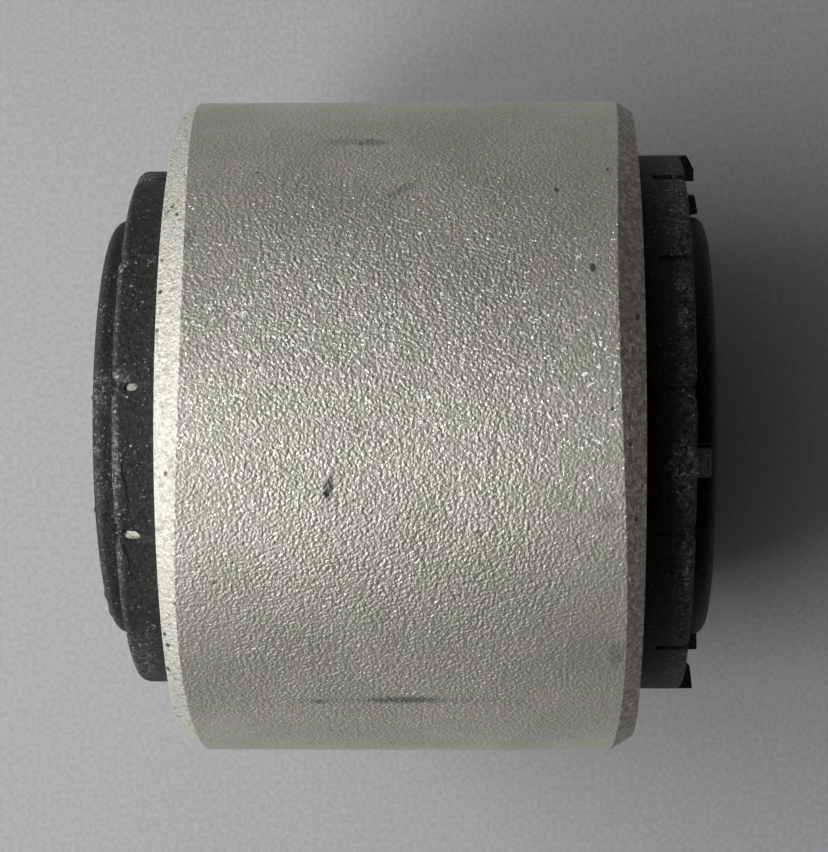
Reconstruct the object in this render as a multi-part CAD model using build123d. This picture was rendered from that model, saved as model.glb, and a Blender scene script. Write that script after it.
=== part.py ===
from build123d import *
import os
from math import radians, tan

# A rubber metal bush: a thick aluminium sleeve, a steel support ring and a steel inner sleeve,
# joined by one rubber moulding that stands out of both ends of the outer sleeve.
# Millimetres. Z is the bolt's axis, and the origin is on it, half way along the inner sleeve.
# The bush stands on its plain end. The end with the rubber nubs is up.

# Outer sleeve
sleeve_bore_radius = 23.9
sleeve_wall = 6.1
sleeve_length = 40.8
bore_lead_in = 0.4

# Chamfers round both ends of the outer sleeve, as long along the axis as chamfer_length.
# The lathe's three jaws squeezed the tube as they were turned, so each chamfer is wider
# at three places, by this much metal more or less than on a round tube.
chamfer_length = 1.85
chamfer_angle = 31.0
squeeze = 0.24
squeeze_direction = -111.0
jaw_count = 3

# Inner sleeve
inner_radius = 14.0
bolt_radius = 7.1
bolt_lead_in = 0.6
inner_edge_break = 0.15

# Rubber at the plain end: a collar that just clears the sleeve's bore, then a disc
plain_collar_height = 4.25
plain_collar_clearance = 0.15
plain_collar_chamfer = 1.0
plain_disc_radius = 19.2
plain_disc_height = 2.35
plain_inner_proud = 0.3

# Rubber at the nubbed end: a collar that laps over the sleeve's end, then a disc.
# The mould's two halves didn't quite line up, so this collar sits to one side.
nubbed_collar_height = 4.48
nubbed_collar_lap = 0.8
nubbed_collar_chamfer = 0.3
nubbed_collar_shift = 0.34
nubbed_disc_radius = 19.35
nubbed_disc_height = 2.22
nubbed_inner_proud = 0.2

disc_chamfer = 0.7

# Support ring, inside the rubber near its skin
ring_wall = 2.5
ring_skin = 0.85
ring_reach_plain = 3.5
ring_reach_nubbed = 1.55

# Slots that the mould's pins leave round both collars, where they held the support ring.
# They bite over the ring's end, and at the plain end they also bare a stretch of its outside.
slot_count = 12
slot_width = 1.0
slot_bite = 0.6
slot_bared_length = 1.5
plain_slot_angle = -97.7
nubbed_slot_angle = -95.5

# Pairs of nubs on the nubbed end's collar, which aren't quite evenly spread round it.
# The outer nub of a pair is flush with the collar's side.
nub_angles = (-172.0, -82.0, -1.0, 98.0)
nub_width = 2.2
outer_nub_depth = 2.3
outer_nub_height = 1.28
outer_nub_round = 0.9
inner_nub_depth = 1.65
inner_nub_height = 1.7
inner_nub_round = 0.4
nub_gap = 1.3

# How far a cutting shape runs past what it cuts
overrun = 1.0

# Stations along the axis, from the plain end up
inner_length = (
    plain_inner_proud + plain_disc_height + plain_collar_height
    + sleeve_length
    + nubbed_collar_height + nubbed_disc_height + nubbed_inner_proud
)
inner_top = inner_length / 2
plain_disc_face = -inner_top + plain_inner_proud
plain_collar_face = plain_disc_face + plain_disc_height
sleeve_bottom = plain_collar_face + plain_collar_height
sleeve_top = sleeve_bottom + sleeve_length
nubbed_collar_face = sleeve_top + nubbed_collar_height
nubbed_disc_face = nubbed_collar_face + nubbed_disc_height
ring_bottom = sleeve_bottom - ring_reach_plain
ring_top = sleeve_top + ring_reach_nubbed

# Radii that follow from the walls and fits
sleeve_radius = sleeve_bore_radius + sleeve_wall
plain_collar_radius = sleeve_bore_radius - plain_collar_clearance
nubbed_collar_radius = sleeve_bore_radius + nubbed_collar_lap
ring_outer_radius = plain_collar_radius - ring_skin
ring_inner_radius = ring_outer_radius - ring_wall


def turned(points, rounds=None):
    """A solid turned about Z from (radius, height) corners, each rounded by its own radius."""
    corners = [(radius, 0, height) for radius, height in points]
    outline = FilletPolyline(*corners, radius=rounds or [0] * len(corners), close=True)
    return revolve(make_face(outline), Axis.Z)


def around(shape, count, start_angle):
    """Copies of a shape that was made on +X, spread evenly about Z from the start angle."""
    return [Rot(Z=start_angle + 360 / count * index) * shape for index in range(count)]


def block(low_radius, high_radius, width, low, high):
    """A box on +X between two radii and two heights, centred across its width."""
    box = Box(high_radius - low_radius, width, high - low)
    return Pos((low_radius + high_radius) / 2, 0, (low + high) / 2) * box


def make_outer_sleeve():
    lead_in_radius = sleeve_bore_radius + bore_lead_in
    sleeve = turned([
        (lead_in_radius, sleeve_bottom),
        (sleeve_radius, sleeve_bottom),
        (sleeve_radius, sleeve_top),
        (lead_in_radius, sleeve_top),
        (sleeve_bore_radius, sleeve_top - bore_lead_in),
        (sleeve_bore_radius, sleeve_bottom + bore_lead_in),
    ])
    # The chamfers are cut by a cone at each end, flaring to the sleeve's middle. Moved off the
    # axis by four times the squeeze, once for each jaw, the cones leave edges that swing in and
    # out by the squeeze, about circles that are three squeezes smaller than the cones.
    slope = tan(radians(chamfer_angle))
    end_radius = sleeve_radius - chamfer_length * slope + 3 * squeeze
    cones = turned([
        (0, sleeve_bottom),
        (end_radius, sleeve_bottom),
        (end_radius + sleeve_length / 2 * slope, (sleeve_bottom + sleeve_top) / 2),
        (end_radius, sleeve_top),
        (0, sleeve_top),
    ])
    for squeezed in around(Pos(4 * squeeze, 0, 0) * cones, jaw_count, squeeze_direction + 180):
        sleeve &= squeezed
    return sleeve


def make_inner_sleeve():
    lead_in_radius = bolt_radius + bolt_lead_in
    face_radius = inner_radius - inner_edge_break
    return turned([
        (bolt_radius, -inner_top + bolt_lead_in),
        (lead_in_radius, -inner_top),
        (face_radius, -inner_top),
        (inner_radius, -inner_top + inner_edge_break),
        (inner_radius, inner_top - inner_edge_break),
        (face_radius, inner_top),
        (lead_in_radius, inner_top),
        (bolt_radius, inner_top - bolt_lead_in),
    ])


def make_support_ring():
    return turned([
        (ring_inner_radius, ring_bottom),
        (ring_outer_radius, ring_bottom),
        (ring_outer_radius, ring_top),
        (ring_inner_radius, ring_top),
    ])


def make_nub(outer_radius, depth, height, rounding):
    """A nub on +X that stands on the nubbed end's collar, with its outer corner rounded."""
    foot = nubbed_collar_face - nubbed_collar_chamfer
    top = nubbed_collar_face + height
    ring = turned([
        (outer_radius - depth, foot),
        (outer_radius, foot),
        (outer_radius, top),
        (outer_radius - depth, top),
    ], [0, 0, rounding, 0])
    return ring & block(outer_radius - depth, outer_radius, nub_width, foot, top)


def make_nubbed_collar():
    """The collar that laps over the sleeve's end, with its nubs and slots."""
    collar = turned([
        ((inner_radius + nubbed_disc_radius) / 2, sleeve_top),
        (nubbed_collar_radius, sleeve_top),
        (nubbed_collar_radius, nubbed_collar_face - nubbed_collar_chamfer),
        (nubbed_collar_radius - nubbed_collar_chamfer, nubbed_collar_face),
        ((inner_radius + nubbed_disc_radius) / 2, nubbed_collar_face),
    ])
    inner_nub_radius = nubbed_collar_radius - outer_nub_depth - nub_gap
    outer_nub = make_nub(nubbed_collar_radius, outer_nub_depth, outer_nub_height, outer_nub_round)
    inner_nub = make_nub(inner_nub_radius, inner_nub_depth, inner_nub_height, inner_nub_round)
    for angle in nub_angles:
        collar += Rot(Z=angle) * outer_nub
        collar += Rot(Z=angle) * inner_nub
    slot = block(
        ring_outer_radius - slot_bite, nubbed_collar_radius + overrun, slot_width,
        ring_top, nubbed_collar_face + overrun,
    )
    collar -= around(slot, slot_count, nubbed_slot_angle)
    return Pos(-nubbed_collar_shift, 0, 0) * collar


def make_rubber_body():
    bore_start = sleeve_bottom + bore_lead_in
    rubber = turned([
        (inner_radius, plain_disc_face),
        (plain_disc_radius - disc_chamfer, plain_disc_face),
        (plain_disc_radius, plain_disc_face + disc_chamfer),
        (plain_disc_radius, plain_collar_face),
        (plain_collar_radius - plain_collar_chamfer, plain_collar_face),
        (plain_collar_radius, plain_collar_face + plain_collar_chamfer),
        (plain_collar_radius, bore_start),
        (sleeve_bore_radius, bore_start),
        (sleeve_bore_radius, sleeve_top),
        (nubbed_disc_radius, sleeve_top),
        (nubbed_disc_radius, nubbed_disc_face - disc_chamfer),
        (nubbed_disc_radius - disc_chamfer, nubbed_disc_face),
        (inner_radius, nubbed_disc_face),
    ])
    slot = block(
        ring_outer_radius - slot_bite, plain_collar_radius + overrun, slot_width,
        plain_collar_face - overrun, ring_bottom + slot_bared_length,
    )
    rubber -= around(slot, slot_count, plain_slot_angle)
    rubber += make_nubbed_collar()
    return rubber - make_support_ring()


parts = {
    "outer_sleeve": make_outer_sleeve(),
    "rubber_body": make_rubber_body(),
    "support_ring": make_support_ring(),
    "inner_sleeve": make_inner_sleeve(),
}
os.makedirs("parts", exist_ok=True)
for name, solid in parts.items():
    export_step(solid, f"parts/{name}.step")
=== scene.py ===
"""The looks of a rubber metal bush, which lies on pale paper in a grazing light.

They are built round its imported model. Lengths are millimetres and angles degrees, until they are
given to a mesh, a lamp or the camera. An angle round the bush is 0 towards the camera, and grows
towards the photograph's bottom edge.
"""
from math import cos, degrees, hypot, pi, radians, sin
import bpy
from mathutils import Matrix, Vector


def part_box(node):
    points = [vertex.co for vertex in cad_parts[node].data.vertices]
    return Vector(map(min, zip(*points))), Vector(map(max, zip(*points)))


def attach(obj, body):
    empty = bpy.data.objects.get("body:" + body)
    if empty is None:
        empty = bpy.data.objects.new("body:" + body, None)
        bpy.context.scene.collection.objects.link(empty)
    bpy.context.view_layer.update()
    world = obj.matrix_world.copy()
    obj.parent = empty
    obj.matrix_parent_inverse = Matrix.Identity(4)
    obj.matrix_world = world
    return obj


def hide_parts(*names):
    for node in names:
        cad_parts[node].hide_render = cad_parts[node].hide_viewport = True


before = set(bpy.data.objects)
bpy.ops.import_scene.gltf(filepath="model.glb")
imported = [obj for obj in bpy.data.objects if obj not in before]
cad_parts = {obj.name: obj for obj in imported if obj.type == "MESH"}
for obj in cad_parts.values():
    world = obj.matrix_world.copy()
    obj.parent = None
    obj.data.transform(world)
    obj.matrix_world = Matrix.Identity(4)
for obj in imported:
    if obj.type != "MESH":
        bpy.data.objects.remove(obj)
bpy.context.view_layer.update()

from types import SimpleNamespace

import bpy
import numpy as np
from mathutils import Matrix, Vector

MM = 0.001


def box_of(node):
    """A node's lowest and highest corner in millimetres."""
    low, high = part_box(node)
    return low / MM, high / MM


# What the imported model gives. Its plain end is down, the end with the nubs is up, and the
# sleeve reaches as far down as up.
sleeve_high = box_of("outer_sleeve")[1]
rubber_low, rubber_high = box_of("rubber_body")
ring_low, ring_high = box_of("support_ring")
sleeve_radius = sleeve_high.x
sleeve_end = sleeve_high.z
plain_face = rubber_low.z
nubbed_face = rubber_high.z
ring_radius = ring_high.x
ring_bottom = ring_low.z
ring_top = ring_high.z

# The photograph and its camera, which looks at the bush's side with the bolt's axis across
image_size = (828, 852)
sensor_size = 36.0
focal_pixels = 2673.3
camera_distance = 249.4
camera_height = 7.1
camera_pan = -1.533
camera_roll = -0.101

# Sleeve. Its chamfers are as long along the axis as chamfer_length, more or less by
# chamfer_swing at three places round the tube, where the lathe's jaws squeezed it.
bore_radius = 23.9
bore_lead_in = 0.4
chamfer_length = 1.846
chamfer_swing = 0.408
chamfer_angle = 31.0
chamfer_lobes = 3
chamfer_turn = 21.0
chamfer_waver = 0.022
lead_in_round = 0.08
end_round = 0.12
side_round = 0.25
sleeve_columns = 1200

# Rubber at both ends
inner_radius = 14.0
disc_round = 1.0
plain_disc_radius = 19.2
plain_collar_radius = 23.75
plain_collar_height = 4.25
plain_shoulder = 1.3
plain_root_round = 0.25
nubbed_disc_radius = 19.35
nubbed_collar_radius = 24.7
nubbed_collar_height = 4.48
nubbed_collar_shift = 0.34
nubbed_shoulder = 0.35

# How much less the plain collar stands out between its first two slots than elsewhere
lowered_face = 0.1

# How far inside the sleeve's end the plain collar starts to widen, and how far inside it both
# collars reach the bore. The nubbed collar lies on the sleeve's end with a small gap.
widen_start = 0.3
widen_end = 0.45
lap_gap = 0.01

# Slots. A mouth is as deep as this share of its width, the round end of a nubbed slot is
# flattened to this share of a half circle, and a film of rubber hides the support ring's
# outside where a slot doesn't bare it. The slots that the photograph hides are all alike.
slot_count = 12
slot_floor_radius = 22.3
mouth_share = 0.8
flat_end_share = 0.5
film_thickness = 0.07
hidden_slot = dict(width=1.0, depth=1.5, above=0.7, below=0.7, bare=1.5)

# Nubs: each pair's angle, and how much lower its outer edges are than its tops, or its inner
# edges where this is negative. The outer nub slants over nub_slant from its outer side.
nub_pairs = ((-82.0, 0.63), (8.4, 0.3), (89.0, -0.26), (188.0, 0.3))
nub_width = 2.2
nub_gap = 1.3
nub_slant = 1.2
nub_round = 0.15
outer_nub = dict(radius=nubbed_collar_radius, depth=2.3, height=1.28)
inner_nub = dict(radius=nubbed_collar_radius - outer_nub["depth"] - nub_gap, depth=1.65, height=1.7)

# Nibs of flash on the plain disc's rim
nib_angles = (-7.8, 23.2, 54.6, 65.0)
nib_height = 0.13
nib_half_width = 0.2

# How the meshes are made: the round of an edge that looks sharp, how far a section is held flat
# beside a round, and how far the collar's points lie outside the disc's at least
edge_round = 0.05
hold = 0.05
disc_margin = 0.05

# The angle between even columns, the least angle between two columns, and how far the columns
# and rows on either side of a wall stand from it
even_step = 0.9
least_step = 0.02
wall_gap = 0.02

# A section through a slot and one beside it have as many corners, so a few are spare. Those on
# the plain collar's side start this high over the support ring's end, and are this far apart.
# The others lie this far inside the plain collar's face, below the ring's top, and inside a
# slot's floor.
spare_start = 1.6
spare_step = 0.1
spare_depth = 0.5
spare_drop = 0.6
spare_inset = 0.1


# Meshes

def put(angle, radius, height):
    """Points at angles round the bush, radii and heights, as an array of x, y and z."""
    angle = np.radians(angle)
    return np.stack([radius * np.sin(angle), -radius * np.cos(angle), height], axis=-1)


def lengths(vectors):
    """The vectors' lengths, never quite 0, so that they can be divided by."""
    return np.maximum(np.linalg.norm(vectors, axis=-1, keepdims=True), 1e-9)


def rounded_rows(corners, columns):
    """The rows of a closed section, each an array of radius and height for every column.

    A corner is (radius, height, rounding, steps), where the first three may vary by column.
    """
    spread = [
        np.stack([np.broadcast_to(np.asarray(value, float), columns) for value in corner[:3]])
        for corner in corners
    ]
    rows = []
    for index, (radius, height, rounding) in enumerate(spread):
        steps = corners[index][3] if len(corners[index]) > 3 else 0
        point = np.stack([radius, height], axis=-1)
        if not steps:
            rows.append(point)
            continue
        before = np.stack(spread[index - 1][:2], axis=-1) - point
        after = np.stack(spread[(index + 1) % len(spread)][:2], axis=-1) - point
        # A round takes less than half of each side, which leaves the next corner as much
        longest = 0.49 * np.minimum(lengths(before), lengths(after))
        before = before / lengths(before)
        after = after / lengths(after)
        cosine = np.sum(before * after, axis=-1, keepdims=True)
        half = np.arccos(np.clip(cosine, -0.9999, 0.9999)) / 2
        reach = np.minimum(rounding[:, None] / np.tan(half), longest)
        middle = (before + after) / lengths(before + after)
        centre = point + middle * reach * np.tan(half) / np.sin(half)
        start = point + before * reach - centre
        end = point + after * reach - centre
        sweep = pi - 2 * half
        flat = reach + np.minimum(hold, 0.4 * reach)
        rows.append(point + before * flat)
        for share in np.arange(steps + 1) / steps:
            arc = np.sin((1 - share) * sweep) * start + np.sin(share * sweep) * end
            rows.append(centre + arc / np.sin(sweep))
        rows.append(point + after * flat)
    return np.stack(rows)


def turned_mesh(name, angles, rows, shift=0.0):
    """A closed mesh from section rows at angles round the bush. shift moves points along X."""
    row_count, column_count = rows.shape[:2]
    points = put(angles[None, :], rows[..., 0], rows[..., 1])
    points[..., 0] += shift
    row = np.arange(row_count)[:, None]
    column = np.arange(column_count)[None, :]
    next_row = (row + 1) % row_count
    next_column = (column + 1) % column_count
    corners = [row * column_count + column, row * column_count + next_column]
    corners += [next_row * column_count + next_column, next_row * column_count + column]
    faces = np.stack(np.broadcast_arrays(*corners), axis=-1).reshape(-1, 4)
    mesh = bpy.data.meshes.new(name)
    mesh.from_pydata((points.reshape(-1, 3) * MM).tolist(), [], faces.tolist())
    mesh.validate()
    mesh.shade_smooth()
    piece = bpy.data.objects.new(name, mesh)
    bpy.context.scene.collection.objects.link(piece)
    return piece


def waves(angle, seed, counts, height):
    """A wavering value round the bush: sines with whole numbers of waves, from a seed."""
    random = np.random.default_rng(seed)
    total = np.zeros_like(angle)
    for count in counts:
        start = random.uniform(0, 2 * pi)
        total += np.sin(np.radians(angle) * count + start) * random.uniform(0.5, 1)
    return total * height / len(counts) ** 0.5


def make_sleeve():
    angles = np.arange(sleeve_columns) * 360 / sleeve_columns
    swing = np.cos(np.radians(chamfer_lobes * (angles + chamfer_turn)))
    length = chamfer_length + chamfer_swing * swing
    end_radius = sleeve_radius - length * np.tan(radians(chamfer_angle))
    corners = []
    for side, seed in ((-1, 1), (1, 2)):
        edge = sleeve_end - length + waves(angles, seed, range(90, 420, 13), chamfer_waver)
        end = [
            (bore_radius, side * (sleeve_end - bore_lead_in), 0),
            (bore_radius + bore_lead_in, side * sleeve_end, lead_in_round, 2),
            (end_radius, side * sleeve_end, end_round, 4),
            (sleeve_radius, side * edge, side_round, 5),
        ]
        corners += end[::-side]
    return turned_mesh("sleeve_skin", angles, rounded_rows(corners, sleeve_columns))


sleeve = make_sleeve()
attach(sleeve, "root")
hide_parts("outer_sleeve")


# Rubber

def slot_list(seen, start, end):
    """Slots that the photograph shows, and the rest spread evenly from start to end."""
    hidden = slot_count - len(seen)
    step = (end - start) / (hidden - 1)
    return seen + [dict(hidden_slot, angle=start + step * index) for index in range(hidden)]


# A slot's width and depth, how wide its mouth opens above and below it as the photograph has
# them, how much of the support ring it bares, and how nearly its walls have closed
plain_slots = slot_list([
    dict(angle=-70.6, width=0.8, depth=2.4, above=1.4, below=0.5),
    dict(angle=-38.3, width=0.3, depth=0.9, above=0.9, below=0.6),
    dict(angle=-8.3, width=0.75, depth=1.5, above=1.0, below=0.9, bare=1.05),
    dict(angle=23.5, width=1.15, depth=1.5, above=1.2, below=0.6, bare=1.55),
    dict(angle=51.5, width=0.4, depth=1.0, above=0.5, below=0.5),
], 82.0, 260.0)
nubbed_slots = slot_list([
    dict(angle=-61.4, width=0.95, depth=1.0, above=0.3, below=0.3),
    dict(angle=-34.5, width=0.6, depth=1.0, above=0.3, below=0.3, shut=0.85),
    dict(angle=-6.3, width=0.45, depth=1.0, above=0.9, below=0.9, shut=0.9),
    dict(angle=22.5, width=0.45, depth=1.0, above=0.8, below=0.9, shut=0.9),
    dict(angle=53.3, width=0.6, depth=1.0, above=0.5, below=0.5, shut=0.8),
], 83.5, 264.5)


def fine_angles():
    """Columns round the bush: even ones, and close ones where the slots and nubs have walls."""
    angles = list(np.arange(0, 360, even_step))
    collars = ((plain_slots, plain_collar_radius), (nubbed_slots, nubbed_collar_radius))
    for slots, radius in collars:
        for slot in slots:
            half = slot["width"] / 2
            sides = [(sign, half * share) for sign in (-1, 1) for share in (0, 0.4, 0.75, 0.93)]
            for sign, mouth in ((-1, slot["above"]), (1, slot["below"])):
                sides.append((sign, half - wall_gap))
                for share in (0, 0.04, 0.14, 0.3, 0.55, 1):
                    sides.append((sign, half + wall_gap + mouth * share))
            angles += [slot["angle"] + sign * degrees(offset / radius) for sign, offset in sides]
    for middle, _ in nub_pairs:
        for nub in (outer_nub, inner_nub):
            for offset in (-wall_gap, wall_gap, -nub_round):
                turn = degrees((nub_width / 2 + offset) / (nub["radius"] - nub["depth"] / 2))
                angles += [middle - turn, middle + turn]
    angles = np.sort(np.mod(angles, 360))
    return angles[np.append(np.diff(angles) > least_step, True)]


def across(angles, middle, radius):
    """How far each column is from an angle, in millimetres along the circle."""
    return radius * np.radians(np.mod(angles - middle + 180, 360) - 180)


def slot_shape(angles, slots, radius):
    """What the slots do to each column.

    inside is 1 in a slot, end says how far its round end is from its deepest point, and mouth
    how far the collar's face is rounded off beside it. The rest are the slot's own values.
    """
    inside, end, bare, shut, mouth = (np.zeros_like(angles) for _ in range(5))
    depth = np.ones_like(angles)
    for slot in slots:
        half = slot["width"] / 2
        offset = across(angles, slot["angle"], radius)
        here = np.abs(offset) < half
        inside[here] = 1
        depth[here] = slot["depth"]
        bare[here] = slot.get("bare", 0)
        shut[here] = slot.get("shut", 0)
        end[here] = half - np.sqrt(np.maximum(half**2 - offset[here] ** 2, 0))
        for side, size in ((-1, slot["above"]), (1, slot["below"])):
            distance = side * offset - half
            beside = (distance >= 0) & (distance < size)
            mouth[beside] = size - np.sqrt(size**2 - (size - distance[beside]) ** 2)
            mouth[here & (side * offset > 0)] = size
    return SimpleNamespace(inside=inside, end=end, depth=depth, bare=bare, shut=shut, mouth=mouth)


def nub_shape(angles, nub):
    """For each column: 1 where the nub stands, and how far its outer and its inner edge drop."""
    stand = np.zeros_like(angles)
    slope = np.zeros_like(angles)
    for turn, drop in nub_pairs:
        here = np.abs(across(angles, turn, nub["radius"] - nub["depth"] / 2)) < nub_width / 2
        stand[here] = 1
        slope[here] = drop
    return stand, np.maximum(slope, 0), np.maximum(-slope, 0)


def plain_end(angles):
    """For each column: 1 in a slot, and the plain end's section without and with the slot."""
    slots = slot_shape(angles, plain_slots, plain_collar_radius)
    signed = np.mod(angles + 180, 360) - 180
    lowered = (signed > plain_slots[0]["angle"]) & (signed < plain_slots[1]["angle"])
    face = -sleeve_end - plain_collar_height + np.where(lowered, lowered_face, 0.0)
    face = face + waves(angles, seed=5, counts=(7, 11, 23, 41), height=0.03)
    open_face = face + slots.mouth * mouth_share
    nib = np.zeros_like(angles)
    for turn in nib_angles:
        offset = across(angles, turn, plain_disc_radius)
        nib += nib_height * np.exp(-(offset / nib_half_width) ** 2)
    rim = plain_disc_radius + waves(angles, seed=6, counts=(9, 17, 31, 57), height=0.02) + nib
    disc = [
        (inner_radius, plain_face, 0),
        (rim, plain_face - nib, disc_round, 7),
        (plain_disc_radius, face, plain_root_round, 3),
    ]
    into_sleeve = [
        (plain_collar_radius, -sleeve_end + widen_start, 0),
        (bore_radius, -sleeve_end + widen_end, 0),
    ]
    shoulder = [
        (slot_floor_radius, open_face, 0),
        (plain_collar_radius, open_face, plain_shoulder, 8),
    ]
    spare_heights = [ring_bottom + spare_start + spare_step * row for row in range(4)]
    side = [(plain_collar_radius, height, 0) for height in spare_heights]
    film_radius = ring_radius + film_thickness
    step = ring_bottom + slots.depth - slots.end
    film = np.minimum(step, ring_bottom + slots.depth - slots.bare + slots.end)
    slot = [
        (film_radius, open_face, 0),
        (film_radius, face + spare_depth, edge_round, 8),
        (film_radius, film, 0),
        (slot_floor_radius, film, 0),
        (slot_floor_radius, step, 0),
        (plain_collar_radius, step, 0),
    ]
    return slots.inside, disc + shoulder + side + into_sleeve, disc + slot + into_sleeve


def nubbed_end(angles):
    """For each column: 1 in a slot, and the nubbed end's section without and with the slot."""
    slots = slot_shape(angles, nubbed_slots, nubbed_collar_radius)
    outer_stand, outer_drop, outer_dip = nub_shape(angles, outer_nub)
    inner_stand, inner_drop, _ = nub_shape(angles, inner_nub)
    level = sleeve_end + nubbed_collar_height
    face = level + waves(angles, seed=7, counts=(8, 13, 27), height=0.02)
    open_face = face - slots.mouth * mouth_share
    outer_top = open_face + outer_stand * (level + outer_nub["height"] - open_face)
    inner_top = face + inner_stand * (level + inner_nub["height"] - face)
    outer_inside = outer_nub["radius"] - outer_nub["depth"]
    inner_inside = inner_nub["radius"] - inner_nub["depth"]
    outer_corner = nubbed_shoulder + outer_stand * (nub_round - nubbed_shoulder)
    inner_corner = wall_gap + inner_stand * (nub_round - wall_gap)
    rim = nubbed_disc_radius + waves(angles, seed=8, counts=(9, 17, 31), height=0.015)
    out_of_sleeve = [
        (bore_radius, sleeve_end - widen_end, 0),
        (nubbed_collar_radius, sleeve_end + lap_gap, 0),
    ]
    inner_nub_and_disc = [
        (inner_nub["radius"], face, 0),
        (inner_nub["radius"], inner_top - inner_drop / 2, inner_corner, 4),
        (inner_inside, inner_top, edge_round, 1),
        (nubbed_disc_radius, face, 0),
        (rim, nubbed_face, disc_round, 7),
        (inner_radius, nubbed_face, 0),
    ]
    collar = [
        (nubbed_collar_radius, ring_top - spare_drop, 0),
        (nubbed_collar_radius, outer_top - outer_drop, outer_corner, 6),
        (nubbed_collar_radius - nub_slant, outer_top - outer_dip / 2, 0),
        (outer_inside, outer_top - outer_dip, edge_round + outer_dip, 3),
        (outer_inside - wall_gap, face, 0),
    ]
    step = ring_top - wall_gap + slots.end * flat_end_share
    floor = slot_floor_radius + slots.shut * (nubbed_collar_radius - slot_floor_radius)
    slot = [
        (nubbed_collar_radius, step, 0),
        (floor, step, edge_round, 6),
        (floor, (step + open_face) / 2, 0),
        (floor, open_face, edge_round, 3),
        (np.minimum(floor, outer_inside) - spare_inset, face, 0),
    ]
    whole = out_of_sleeve + collar + inner_nub_and_disc
    return slots.inside, whole, out_of_sleeve + slot + inner_nub_and_disc


def make_rubber():
    angles = fine_angles()
    columns = len(angles)
    in_plain_slot, plain_whole, plain_slotted = plain_end(angles)
    in_nubbed_slot, nubbed_whole, nubbed_slotted = nubbed_end(angles)
    whole = rounded_rows(plain_whole + nubbed_whole, columns)
    slotted = rounded_rows(plain_slotted + nubbed_whole, columns)
    rows = whole + in_plain_slot[None, :, None] * (slotted - whole)
    slotted = rounded_rows(plain_whole + nubbed_slotted, columns)
    rows = rows + in_nubbed_slot[None, :, None] * (slotted - whole)
    # Only the nubbed collar sits to one side
    radius, height = rows[..., 0], rows[..., 1]
    is_collar = (height > sleeve_end) & (radius > nubbed_disc_radius + disc_margin)
    return turned_mesh("rubber_moulding", angles, rows, is_collar * -nubbed_collar_shift)


rubber = make_rubber()
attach(rubber, "root")
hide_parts("rubber_body")


# Materials

class Nodes:
    """A node tree, with one call for each node. An input is a value or a node's output."""

    def __init__(self, tree):
        self.nodes = tree.nodes
        self.links = tree.links

    def feed(self, socket, value):
        if isinstance(value, bpy.types.NodeSocket):
            self.links.new(value, socket)
        else:
            socket.default_value = value

    def node(self, kind, settings=(), **inputs):
        node = self.nodes.new(kind)
        for key, value in dict(settings).items():
            setattr(node, key, value)
        for key, value in inputs.items():
            self.feed(node.inputs[key.replace("_", " ")], value)
        return node

    def maths(self, operation, *values, clamp=False):
        node = self.node("ShaderNodeMath", dict(operation=operation, use_clamp=clamp))
        for socket, value in zip(node.inputs, values):
            self.feed(socket, value)
        return node.outputs[0]

    def product(self, first, *others):
        for other in others:
            first = self.maths("MULTIPLY", first, other)
        return first

    def vector(self, operation, *values):
        node = self.node("ShaderNodeVectorMath", dict(operation=operation))
        for socket, value in zip(node.inputs, values):
            self.feed(socket, value)
        return node.outputs["Value" if operation in ("LENGTH", "DOT_PRODUCT") else "Vector"]

    def blend(self, share, first, second):
        """From the first shader to the second, as the share goes from 0 to 1."""
        node = self.node("ShaderNodeMixShader", Fac=share)
        self.feed(node.inputs[1], first)
        self.feed(node.inputs[2], second)
        return node.outputs[0]


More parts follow.
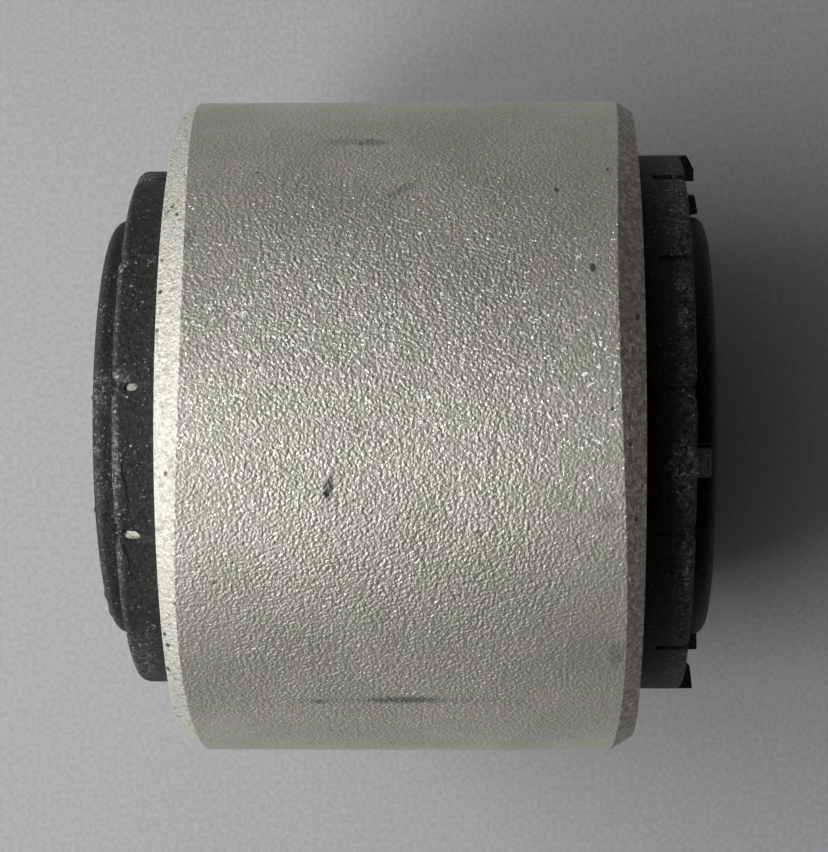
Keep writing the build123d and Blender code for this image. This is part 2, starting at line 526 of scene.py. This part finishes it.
class Shader(Nodes):
    """A material, which knows its place on the bush in millimetres."""

    def __init__(self, name):
        self.material = bpy.data.materials.new(name)
        self.material.use_nodes = True
        super().__init__(self.material.node_tree)
        self.surface = self.nodes["Principled BSDF"]
        coordinates = self.node("ShaderNodeTexCoord").outputs["Object"]
        self.place = self.vector("MULTIPLY", coordinates, (1 / MM, 1 / MM, 1 / MM))
        split = self.node("ShaderNodeSeparateXYZ", Vector=self.place)
        self.down = split.outputs["X"]
        self.along = split.outputs["Z"]
        towards_camera = self.maths("MULTIPLY", split.outputs["Y"], -1.0)
        self.turn = self.maths("ARCTAN2", self.down, towards_camera)
        self.radius = self.vector("LENGTH", self.vector("MULTIPLY", self.place, (1, 1, 0)))

    def set_surface(self, **values):
        for key, value in values.items():
            self.feed(self.surface.inputs[key.replace("_", " ")], value)

    def ramp(self, value, low, high, out_low=0.0, out_high=1.0):
        """From out_low to out_high, as the value goes from low to high."""
        node = self.node("ShaderNodeMapRange", dict(interpolation_type="SMOOTHSTEP"), Value=value)
        self.feed(node.inputs["From Min"], low)
        self.feed(node.inputs["From Max"], high)
        self.feed(node.inputs["To Min"], out_low)
        self.feed(node.inputs["To Max"], out_high)
        return node.outputs["Result"]

    def noise(self, scale, detail, roughness=0.5, distortion=0.0, place=None, output="Fac"):
        node = self.node(
            "ShaderNodeTexNoise", Vector=place or self.place,
            Scale=scale, Detail=detail, Roughness=roughness, Distortion=distortion,
        )
        return node.outputs[output]

    def cells(self, scale, place=None, output="Distance"):
        node = self.node("ShaderNodeTexVoronoi", Vector=place or self.place, Scale=scale)
        return node.outputs[output]

    def first_of(self, vector):
        return self.node("ShaderNodeSeparateXYZ", Vector=vector).outputs["X"]

    def dots(self, scale, size, share):
        """Ragged dots in a share of the cells. The size is a part of the cell."""
        picked = self.maths("ADD", self.first_of(self.cells(scale, output="Color")), share)
        ragged = self.maths("SUBTRACT", self.noise(scale * 2.5, detail=1.0), 0.5)
        distance = self.maths("MULTIPLY_ADD", ragged, size * 1.6, self.cells(scale))
        return self.product(self.ramp(distance, size, size * 0.6), self.ramp(picked, 0.98, 1.02))

    def mix(self, share, first, second):
        node = self.node("ShaderNodeMixRGB", Fac=share, Color1=first, Color2=second)
        return node.outputs["Color"]

    def bump(self, height, distance):
        return self.node("ShaderNodeBump", Height=height, Distance=distance).outputs["Normal"]

    def marks(self, radius, marks):
        """How strongly marks cover each place on the bush's side, from 0 to 1."""
        around = self.maths("MULTIPLY", self.turn, radius)
        flat = self.node("ShaderNodeCombineXYZ", X=around, Y=self.along).outputs[0]
        drift = self.noise(1.3, detail=2.0, output="Color")
        drift = self.vector("SUBTRACT", drift, (0.5, 0.5, 0.5))
        flat = self.vector("MULTIPLY_ADD", drift, (0.5, 0.5, 0.0), flat)
        rough = self.maths("SUBTRACT", self.noise(3.0, detail=3.0, roughness=0.65), 0.5)
        total = 0.0
        for angle, height, half_round, half_long, turn, strength, ragged in marks:
            mapping = self.node(
                "ShaderNodeMapping", dict(vector_type="TEXTURE"), Vector=flat,
                Location=(radians(angle) * radius, height, 0),
                Rotation=(0, 0, radians(turn)),
                Scale=(half_round, half_long, 1),
            )
            distance = self.vector("LENGTH", mapping.outputs[0])
            distance = self.maths("MULTIPLY_ADD", rough, ragged, distance)
            total = self.maths("ADD", total, self.ramp(distance, 0.6, 1.4, strength, 0.0))
        return self.maths("MINIMUM", total, 1.0)


# Marks: (angle, height, half size round the bush, half size along it, turn from the first
# direction to the second, strength, raggedness)
sleeve_marks = (
    # Scratch with a deep end, a small smear above it, and two longer smears at the edges
    (9.6, -5.8, 1.0, 0.34, -12, 0.68, 0.5),
    (10.9, -6.0, 0.35, 0.25, -12, 0.3, 0.5),
    (-0.1, -3.37, 0.57, 0.57, 0, 0.16, 1.0),
    (-55.4, -2.73, 0.55, 1.2, 0, 0.36, 3.0),
    (-55.6, -5.09, 0.6, 1.7, 0, 0.2, 3.0),
    (-42.2, 0.12, 1.5, 0.4, -50, 0.26, 2.0),
    (52.0, 0.00, 0.5, 2.9, 0, 0.4, 2.0),
    (52.3, 0.96, 0.42, 9.0, 0, 0.16, 2.0),
    (52.7, -7.3, 0.33, 0.65, 0, 0.4, 0.8),
    # Scuffed patches by the chamfers
    (-32.1, -18.03, 0.9, 0.9, 0, 0.2, 1.5),
    (14.1, 17.0, 0.7, 0.7, 0, 0.22, 3.0),
    (40.2, 18.1, 1.2, 0.6, 0, 0.25, 3.0),
    # Specks
    (-41.9, 13.2, 0.23, 0.21, 0, 0.7, 0.5),
    (-26.0, 16.05, 0.37, 0.22, 20, 0.8, 0.5),
    (-46.5, -12.36, 0.19, 0.13, 0, 0.6, 0.5),
    (-46.8, 17.6, 0.19, 0.13, 0, 0.7, 0.5),
    (-2.7, 17.46, 0.16, 0.16, 0, 0.75, 0.5),
    (-1.4, 16.0, 0.12, 0.14, 0, 0.6, 0.5),
    (-0.6, 13.2, 0.14, 0.14, 0, 0.6, 0.5),
    (7.2, -2.73, 0.12, 0.16, 0, 0.5, 0.5),
    (25.7, -15.56, 0.18, 0.33, 0, 0.5, 1.0),
    (71.3, -1.52, 0.28, 0.18, 0, 0.5, 0.5),
    (17.1, 6.71, 0.26, 0.25, 0, 0.4, 1.0),
)
chamfer_pits = (
    (-39.7, -19.6, 0.18, 0.14, 0, 0.75, 0.5),
    (-38.9, -19.95, 0.18, 0.15, 0, 0.65, 0.5),
    (-37.4, -19.05, 0.17, 0.15, 0, 0.75, 0.5),
    (-29.0, -20.1, 0.2, 0.15, 0, 0.7, 0.8),
    (-22.8, -20.1, 0.2, 0.17, 0, 0.9, 0.5),
    (-19.2, -20.0, 0.17, 0.14, 0, 0.5, 0.8),
    (-16.2, -20.2, 0.2, 0.15, 0, 0.75, 0.5),
    (7.6, -19.3, 0.2, 0.15, 0, 0.75, 0.5),
    (29.7, -18.9, 0.2, 0.16, 0, 0.75, 0.5),
    (37.0, -20.1, 0.2, 0.16, 0, 0.85, 0.5),
    (39.1, -20.0, 0.18, 0.16, 0, 0.85, 0.5),
    (45.4, -20.1, 0.22, 0.16, 0, 0.85, 0.5),
    (-70.1, -19.83, 0.3, 0.15, 0, 0.7, 0.5),
    (2.8, 19.0, 0.18, 0.15, 0, 0.8, 1.5),
    (-18.1, 19.7, 0.28, 0.2, 0, 0.75, 1.5),
    (15.3, 19.5, 0.22, 0.15, 0, 0.75, 1.5),
)

# The colour of the sleeve's marks and pits
soot = (0.03, 0.03, 0.03, 1)


def blasted_aluminium():
    """The sleeve's side, blasted to a grain of small domes, some of which glint."""
    shader = Shader("blasted_aluminium")

    # The grain is weaker towards both ends, and stronger along the photograph's bottom edge
    place = shader.vector("MULTIPLY", shader.place, (1.7, 1.7, 1.6))
    grain = shader.noise(2.0, detail=1.5, roughness=0.55, distortion=0.3, place=place)
    height = shader.product(
        shader.maths("MULTIPLY_ADD", shader.cells(2.0, place), -0.5, grain),
        shader.ramp(shader.along, -18.5, -8.0, 0.7, 1.0),
        shader.ramp(shader.along, 7.0, 18.5, 1.0, 0.5),
        shader.ramp(shader.down, 17.0, 26.0, 1.0, 1.7),
    )
    normal = shader.bump(height, 0.12 * MM)

    # A part of the facets is polished, each with its own lean
    facets = shader.cells(3.1, place, output="Color")
    lean = shader.vector("SUBTRACT", facets, (0.5, 0.5, 0.5))
    facet = shader.vector("NORMALIZE", shader.vector("ADD", lean, normal))
    polish = shader.ramp(shader.first_of(facets), 0.55, 0.6, 0.0, 0.8)

    patches = shader.ramp(shader.noise(0.12, detail=3.0, roughness=0.6), 0.35, 0.65)
    colour = shader.mix(patches, (0.664, 0.648, 0.56, 1), (0.744, 0.725, 0.63, 1))
    yellow = (0.98, 1.0, 0.94, 1)
    purple = (1.02, 1.0, 1.03, 1)
    tint = shader.ramp(shader.noise(0.3, detail=3.0, roughness=0.65), 0.35, 0.65)
    colour = shader.vector("MULTIPLY", colour, shader.mix(tint, yellow, purple))
    dark = shader.marks(sleeve_radius, sleeve_marks)
    shader.set_surface(
        Base_Color=shader.mix(dark, colour, soot), Metallic=1.0, Roughness=0.6, Normal=normal,
        Coat_Weight=shader.maths("SUBTRACT", polish, dark, clamp=True),
        Coat_Roughness=0.2, Coat_IOR=2.2, Coat_Normal=facet,
    )
    return shader.material


def turned_aluminium():
    """The sleeve's chamfers and end faces, finely pitted, with patches of painted warm shade that
    grow darker and redder towards the nubbed end.
    """
    shader = Shader("turned_aluminium")
    grain = shader.noise(2.8, detail=3.0, roughness=0.6, distortion=0.4)
    stains = shader.ramp(shader.noise(1.6, detail=4.0, roughness=0.7), 0.48, 0.70)
    colour = shader.mix(stains, (0.73, 0.72, 0.64, 1), (0.48, 0.46, 0.36, 1))
    # Painted warm shade: patches darker and redder towards the nubbed end, which stand in for that
    # end's shade and the warm light on it
    painted_warm_shade = shader.product(
        shader.ramp(shader.noise(2.2, detail=4.0, roughness=0.75), 0.62, 0.40),
        shader.ramp(shader.along, -1.0, 1.0, 0.0, 0.75),
    )
    colour = shader.mix(painted_warm_shade, colour, (0.33, 0.27, 0.265, 1))
    colour = shader.mix(shader.marks(sleeve_radius, chamfer_pits), colour, soot)
    normal = shader.bump(grain, 0.22 * MM)
    shader.set_surface(Base_Color=colour, Metallic=1.0, Roughness=0.66, Normal=normal)
    return shader.material


# Where the rubber is scuffed or dusty, and where it has cracked, in the same form as the marks
plain_scuffs = (
    (6.5, -24.3, 4.5, 0.45, 0, 0.8, 1.6),
    (-9.5, -24.0, 1.0, 0.9, 0, 0.6, 2.0),
    (-36.5, -24.1, 0.8, 0.5, 0, 0.9, 1.0),
    (29.0, -24.3, 2.0, 0.4, 0, 0.5, 1.5),
    (-72.0, -23.6, 2.5, 0.8, 0, 0.7, 1.5),
    (62.0, -23.4, 5.0, 1.3, 0, 0.5, 2.0),
    # Dust on the disc's rim
    (-9.0, -26.2, 2.2, 0.8, 0, 0.6, 2.0),
    (12.0, -26.4, 5.0, 0.5, 0, 0.3, 2.0),
)
# Cracks in the plain collar. Their near-black colour is painted shade inside them.
plain_cracks_and_shade = (
    (9.6, -23.6, 0.75, 0.13, 10, 0.9, 0.6),
    (13.6, -23.35, 1.0, 0.09, 7, 1.0, 0.6),
    (26.4, -23.75, 0.5, 0.16, 18, 1.0, 0.6),
    (30.3, -23.45, 1.3, 0.1, 5, 1.0, 0.6),
)
nubbed_scuffs = (
    (7.6, 23.6, 1.6, 1.0, 0, 1.0, 2.0),
    (12.0, 23.7, 1.2, 0.6, 0, 0.8, 2.0),
    (-28.0, 23.9, 1.3, 0.5, 0, 0.9, 1.5),
    (-21.5, 23.8, 0.9, 0.4, 0, 0.8, 1.5),
    (29.0, 24.2, 2.4, 0.4, 0, 0.8, 1.5),
    (-52.0, 23.4, 6.0, 1.4, 0, 0.5, 2.0),
    (60.0, 23.6, 4.0, 1.2, 0, 0.4, 2.0),
)


def moulded_rubber():
    """Black rubber with specks of dust, scuffed edges, a dusty rim on the nubbed collar, and cracks
    whose near-black colour is painted shade.
    """
    shader = Shader("moulded_rubber")
    fine = shader.noise(2.6, detail=4.0, roughness=0.7)
    mottle = shader.ramp(fine, 0.36, 0.70)
    colour = shader.mix(mottle, (0.005, 0.005, 0.005, 1), (0.034, 0.034, 0.034, 1))

    # How worn each place is: three rims, and the scuffs
    plain_rim = shader.product(
        shader.ramp(shader.along, -24.0, -24.35), shader.ramp(shader.along, -24.8, -24.7), 0.4
    )
    disc_rim = shader.product(
        shader.ramp(shader.along, -26.1, -26.5), shader.ramp(shader.radius, 18.0, 18.7), 0.25
    )
    nubbed_rim = shader.product(
        shader.ramp(shader.along, 22.7, 23.8), shader.ramp(shader.radius, 23.6, 24.0),
        shader.ramp(shader.along, 25.05, 24.95), 0.5,
    )
    worn = shader.maths("ADD", plain_rim, disc_rim)
    worn = shader.maths("ADD", worn, nubbed_rim)
    worn = shader.maths("ADD", worn, shader.marks(plain_collar_radius, plain_scuffs))
    scuffs = shader.marks(nubbed_collar_radius, nubbed_scuffs)
    worn = shader.maths("ADD", worn, scuffs, clamp=True)
    patchy = shader.ramp(shader.noise(2.2, detail=4.0, roughness=0.75), 0.42, 0.64)
    colour = shader.mix(shader.product(worn, patchy), colour, (0.16, 0.156, 0.15, 1))

    # Dust lies thicker on what is worn, and in clumps on the plain end
    clumps = shader.product(
        shader.ramp(shader.noise(0.4, detail=3.0, roughness=0.6), 0.45, 0.65),
        shader.ramp(shader.along, 0.0, 1.0, 0.3, 0.0),
    )
    density = shader.maths("MULTIPLY_ADD", worn, 0.6, clumps)
    dust = shader.noise(3.6, detail=2.0, roughness=0.65)
    flecks = shader.ramp(shader.maths("MULTIPLY_ADD", density, 0.18, dust), 0.66, 0.74)
    colour = shader.mix(flecks, colour, (0.27, 0.27, 0.265, 1))
    crumbs = shader.dots(2.4, 0.28, shader.product(density, 0.25))
    colour = shader.mix(crumbs, colour, (0.50, 0.50, 0.48, 1))

    # The cracks dent the bump, and their near-black colour is painted shade in them
    cracks_and_shade = shader.marks(plain_collar_radius, plain_cracks_and_shade)
    colour = shader.mix(cracks_and_shade, colour, (0.002, 0.002, 0.002, 1))
    height = shader.maths("SUBTRACT", fine, shader.product(cracks_and_shade, 2.0))
    normal = shader.bump(height, 0.28 * MM)
    shader.set_surface(Base_Color=colour, Roughness=0.6, Specular_IOR_Level=0.38, Normal=normal)
    return shader.material


def cut_steel(name, colour, dark, roughness, relief):
    """Steel whose colour goes towards dark in patches, with a fine relief this high."""
    shader = Shader(name)
    grain = shader.noise(5.0, detail=3.0, roughness=0.6)
    patches = shader.ramp(shader.noise(2.2, detail=3.0, roughness=0.6), 0.54, 0.62)
    shader.set_surface(
        Base_Color=shader.mix(patches, colour, dark), Metallic=1.0,
        Roughness=shader.ramp(grain, 0.3, 0.7, roughness - 0.06, roughness + 0.08),
        Normal=shader.bump(grain, relief * MM),
    )
    return shader.material


def dress(piece, *materials):
    """Gives a piece these materials in place of its own."""
    piece.data.materials.clear()
    for material in materials:
        piece.data.materials.append(material)


dress(sleeve, blasted_aluminium(), turned_aluminium())
for face in sleeve.data.polygons:
    is_side = hypot(face.normal.x, face.normal.y) > cos(radians(chamfer_angle / 2))
    face.material_index = 0 if is_side else 1
dress(rubber, moulded_rubber())
ring_steel = cut_steel("ring_steel", (0.95, 0.91, 0.80, 1), (0.3, 0.27, 0.2, 1), 0.5, 0.04)
dress(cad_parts["support_ring"], ring_steel)
sleeve_steel = cut_steel("sleeve_steel", (0.55, 0.54, 0.52, 1), (0.48, 0.47, 0.45, 1), 0.35, 0.01)
dress(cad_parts["inner_sleeve"], sleeve_steel)


# Stage, light and camera

paper_distance = sleeve_radius
paper_size = 700.0

# Lamps, and patches of bright sky. Each has a lean from the camera's side to the photograph's
# left edge, a turn from there to its bottom edge, and its power or brightness.
lamp_distance = 350.0
lamp_size = (168.0, 98.0)
lamps = ((50, 30, 0.57), (62, -10, 0.45))
patches = ((45, 0, 1.18), (75, -60, 0.37), (75, 20, 0.28))
patch_focus = 6.0
sky_colour = (0.97, 0.985, 1.0, 1)

# A weak warm lamp low on the other side, behind the paper, which lights the far chamfer
warm_lamp = (97, 180, 0.062)
warm_colour = (1.0, 0.78, 0.70)

# What the camera sees past the paper
room_colour = (0.62, 0.63, 0.64, 1)


def light_way(lean, turn):
    """The direction of a lamp or patch, seen from the bush."""
    lean, turn = radians(lean), radians(turn)
    return Vector((sin(lean) * sin(turn), -cos(lean), -sin(lean) * cos(turn)))


def make_paper():
    """Pale paper, which throws no shadow, and which a camera behind it sees through."""
    half = paper_size / 2 * MM
    y = paper_distance * MM
    corners = [(-half, y, -half), (half, y, -half), (half, y, half), (-half, y, half)]
    mesh = bpy.data.meshes.new("paper")
    mesh.from_pydata(corners, [], [(0, 1, 2, 3)])
    paper = bpy.data.objects.new("paper", mesh)
    bpy.context.scene.collection.objects.link(paper)
    shader = Shader("pale_paper")
    fibre = shader.noise(2.0, detail=3.0, roughness=0.55)
    colour = shader.mix(fibre, (0.35, 0.354, 0.357, 1), (0.62, 0.624, 0.628, 1))
    tint = shader.ramp(shader.noise(0.12, detail=4.0, roughness=0.6), 0.35, 0.65)
    colour = shader.mix(shader.product(tint, 0.06), colour, (0.50, 0.46, 0.62, 1))
    normal = shader.bump(fibre, 0.03 * MM)
    shader.set_surface(Base_Color=colour, Roughness=0.9, Normal=normal)
    path = shader.node("ShaderNodeLightPath").outputs
    behind = shader.node("ShaderNodeNewGeometry").outputs["Backfacing"]
    seen_behind = shader.product(behind, path["Is Camera Ray"])
    clear = shader.maths("MAXIMUM", seen_behind, path["Is Shadow Ray"])
    nothing = shader.node("ShaderNodeBsdfTransparent").outputs[0]
    sheet = shader.blend(clear, shader.surface.outputs[0], nothing)
    shader.feed(shader.nodes["Material Output"].inputs["Surface"], sheet)
    dress(paper, shader.material)


def make_lamp(name, lean, turn, power, colour=(1, 1, 1)):
    """An area lamp that faces the bush, with its first size along X as near as may be."""
    light = bpy.data.lights.new(name, "AREA")
    light.shape = "RECTANGLE"
    light.size = lamp_size[0] * MM
    light.size_y = lamp_size[1] * MM
    light.energy = power
    light.color = colour
    lamp = bpy.data.objects.new(name, light)
    bpy.context.scene.collection.objects.link(lamp)
    way = light_way(lean, turn)
    up = Vector((1, 0, 0)).cross(-way).normalized()
    side = -way.cross(up)
    lamp.matrix_world = Matrix((side, up, way)).transposed().to_4x4()
    lamp.location = way * lamp_distance * MM
    lamp.visible_camera = False


def make_world():
    """Patches of bright sky for everything but the camera, which sees a plain grey room."""
    world = bpy.data.worlds.new("room")
    bpy.context.scene.world = world
    world.use_nodes = True
    room = Nodes(world.node_tree)
    view = room.node("ShaderNodeTexCoord").outputs["Generated"]
    strength = 0.0
    for lean, turn, brightness in patches:
        toward = room.vector("DOT_PRODUCT", view, light_way(lean, turn))
        patch = room.maths("POWER", room.maths("MAXIMUM", toward, 0.0), patch_focus)
        strength = room.maths("MULTIPLY_ADD", patch, brightness, strength)
    sky = room.node("ShaderNodeBackground", Color=sky_colour, Strength=strength).outputs[0]
    seen = room.node("ShaderNodeBackground", Color=room_colour, Strength=1.0).outputs[0]
    by_camera = room.node("ShaderNodeLightPath").outputs["Is Camera Ray"]
    room.feed(room.nodes["World Output"].inputs["Surface"], room.blend(by_camera, sky, seen))


def make_camera():
    """The camera stands level with the bush's side, and its right is the bush's up."""
    data = bpy.data.cameras.new("camera")
    data.sensor_width = sensor_size
    data.lens = focal_pixels * sensor_size / max(image_size)
    data.clip_start = 0.01
    data.clip_end = 10
    camera = bpy.data.objects.new("camera", data)
    bpy.context.scene.collection.objects.link(camera)
    right, up, ahead = Vector((0, 0, 1)), Vector((-1, 0, 0)), Vector((0, 1, 0))
    turn = radians(camera_pan)
    ahead, right = cos(turn) * ahead + sin(turn) * right, cos(turn) * right - sin(turn) * ahead
    turn = radians(camera_roll)
    right, up = cos(turn) * right + sin(turn) * up, cos(turn) * up - sin(turn) * right
    camera.matrix_world = Matrix((right, up, -ahead)).transposed().to_4x4()
    camera.location = Vector((0, -camera_distance, camera_height)) * MM
    bpy.context.scene.camera = camera


make_paper()
for index, lamp in enumerate(lamps):
    make_lamp(f"window_{index}", *lamp)
make_lamp("low_lamp", *warm_lamp, warm_colour)
make_world()
make_camera()
bpy.context.scene.view_settings.view_transform = "Standard"
